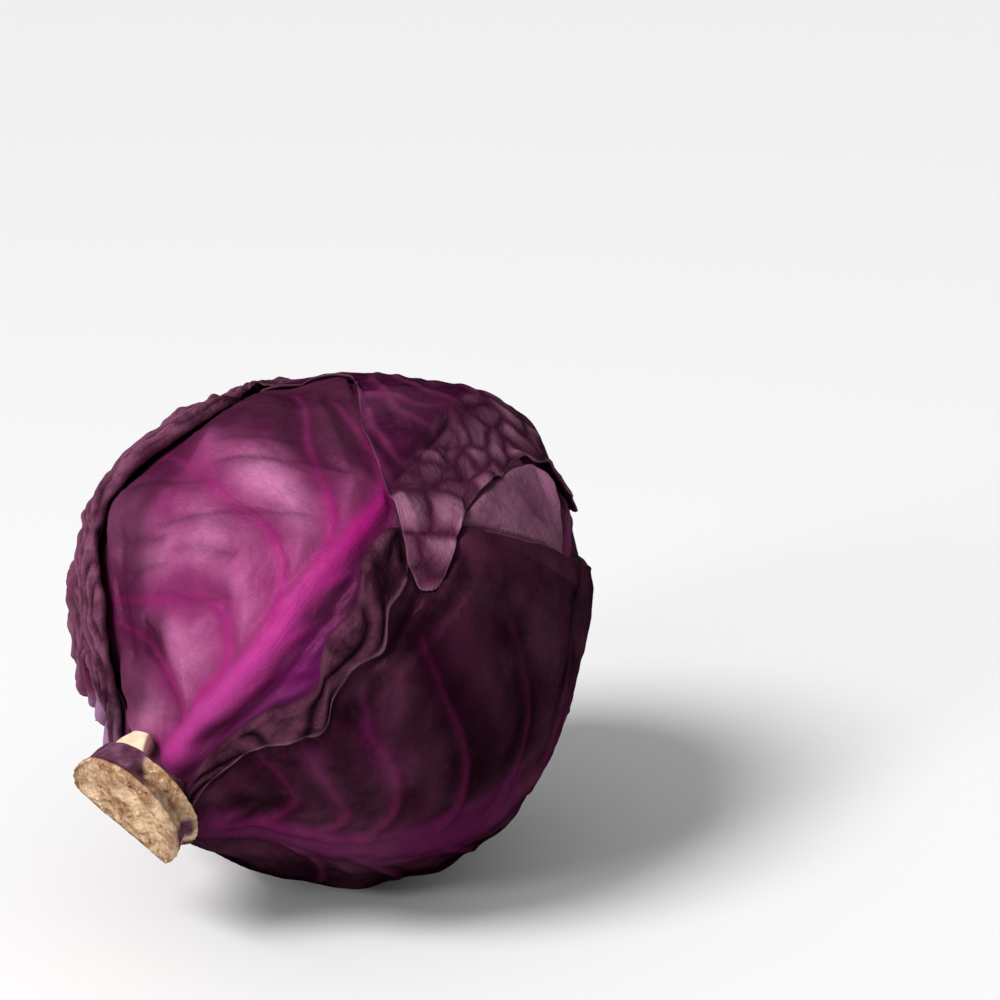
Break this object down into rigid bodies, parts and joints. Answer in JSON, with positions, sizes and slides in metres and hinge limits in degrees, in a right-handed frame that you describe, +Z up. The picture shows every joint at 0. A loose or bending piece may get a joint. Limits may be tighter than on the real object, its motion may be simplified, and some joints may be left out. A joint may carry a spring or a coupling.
{
  "type": "red cabbage head",
  "caption": "Red cabbage head lying on its side, with wrapper leaves folded at their margins round a dense heart and a short cut stem.",
  "frame": {"origin": "middle of the bounding box's underside, on the plane of the flat spot that the head rests on", "axes": "+Z up; the cut stem points towards -X and droops, the apex is raised towards +X"},
  "size_m": [0.1936, 0.1708, 0.165],
  "materials": {
    "stem": "matte",
    "heart": "satin",
    "leaf_inner_right": "satin",
    "leaf_inner_back": "satin",
    "leaf_front": "satin",
    "leaf_back": "satin",
    "leaf_lower": "satin",
    "leaf_top": "satin",
    "leaf_side": "satin"
  },
  "bodies": {
    "root": {"stem": "stem", "heart": "heart", "leaf_inner_right": "leaf_inner_right", "leaf_inner_back": "leaf_inner_back", "leaf_front": "leaf_front", "leaf_back": "leaf_back", "leaf_lower": "leaf_lower", "leaf_top": "leaf_top", "leaf_side": "leaf_side"}
  },
  "joints": []
}
